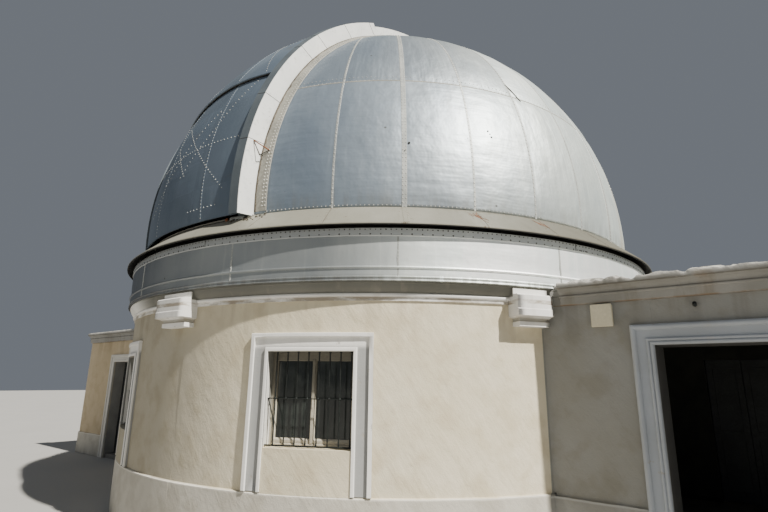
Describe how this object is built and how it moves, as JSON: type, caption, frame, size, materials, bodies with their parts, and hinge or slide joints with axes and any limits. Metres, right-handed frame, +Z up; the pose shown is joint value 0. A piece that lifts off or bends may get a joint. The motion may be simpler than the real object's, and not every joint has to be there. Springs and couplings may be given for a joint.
{
  "type": "observatory dome",
  "caption": "Round observatory: a turning metal dome with a curved sliding shutter on a stucco drum with barred windows, between a flat-roofed wing and a link with a glazed door.",
  "frame": {"origin": "on the axis of the round drum and of the turning dome, at ground level", "axes": "+X runs along the right wing, -Y faces the courtyard, +Z is up"},
  "size_m": [14.25, 8.2552, 7.4996],
  "materials": {
    "stucco": "rough trowelled cream stucco",
    "lime": "white limewash over moulded plaster",
    "weathered": "weathered grey-white render",
    "concrete": "plain concrete and masonry",
    "dome_metal": "dull silver paint over riveted sheet",
    "apron_metal": "scratched cream-grey paint",
    "curb_metal": "chalky white paint",
    "steel": "plain rolled steel",
    "window_frame": "cream painted casements",
    "door_metal": "dark grey painted metal"
  },
  "bodies": {
    "building": {"cornice_back": "lime", "cornice_front": "lime", "drum_band": "dome_metal", "drum_wall_back_left": "stucco", "drum_wall_back_right": "stucco", "drum_wall_front_left": "stucco", "drum_wall_front_right": "stucco", "drum_wall_left": "stucco", "drum_wall_right": "stucco", "floor_slab": "concrete", "link_back_wall": "stucco", "link_door_frame": "door_metal", "link_door_surround": "lime", "link_front_lintel": "stucco", "link_front_pier_far": "stucco", "link_front_pier_near": "stucco", "link_party_wall": "stucco", "link_roof": "weathered", "ring_beam": "concrete", "track_rail": "steel", "window_1": "window_frame", "window_2": "window_frame", "window_3": "window_frame", "window_4": "window_frame", "window_surround_1": "lime", "window_surround_2": "lime", "window_surround_3": "lime", "window_surround_4": "lime", "wing_back_folding_door": "door_metal", "wing_back_lintel": "stucco", "wing_back_pier_far": "stucco", "wing_back_pier_near": "stucco", "wing_back_surround": "lime", "wing_front_lintel": "stucco", "wing_front_pier_far": "stucco", "wing_front_pier_near": "stucco", "wing_front_surround": "lime", "wing_party_wall": "stucco", "wing_roof": "weathered"},
    "dome": {"dome_base_ring": "steel", "dome_apron": "apron_metal", "shell_right_front": "dome_metal", "shell_right_back": "dome_metal", "shell_left_front": "dome_metal", "shell_left_back": "dome_metal", "shell_rear": "dome_metal", "curb_near": "curb_metal", "curb_far": "curb_metal"},
    "lower_shutter": {"shutter_lower": "dome_metal"},
    "upper_shutter": {"shutter_upper": "dome_metal"},
    "door": {"link_door_leaf": "door_metal"}
  },
  "joints": [
    {"name": "dome_turn", "type": "hinge", "parent": "building", "child": "dome", "pos_m": [0, 0, 3.05], "axis": [0, 0, 1], "continuous": true},
    {"name": "upper_shutter_slide", "type": "hinge", "parent": "dome", "child": "upper_shutter", "pos_m": [0, 0, 3.535], "axis": [-0.9973, 0.0732, 0], "range_deg": [0, 70]},
    {"name": "lower_shutter_slide", "type": "hinge", "parent": "dome", "child": "lower_shutter", "pos_m": [0, 0, 3.535], "axis": [-0.9973, 0.0732, 0], "range_deg": [0, 100]},
    {"name": "door_hinge", "type": "hinge", "parent": "building", "child": "door", "pos_m": [-5.7655, -1.66, 0], "axis": [0, 0, 1], "range_deg": [0, 90]}
  ]
}
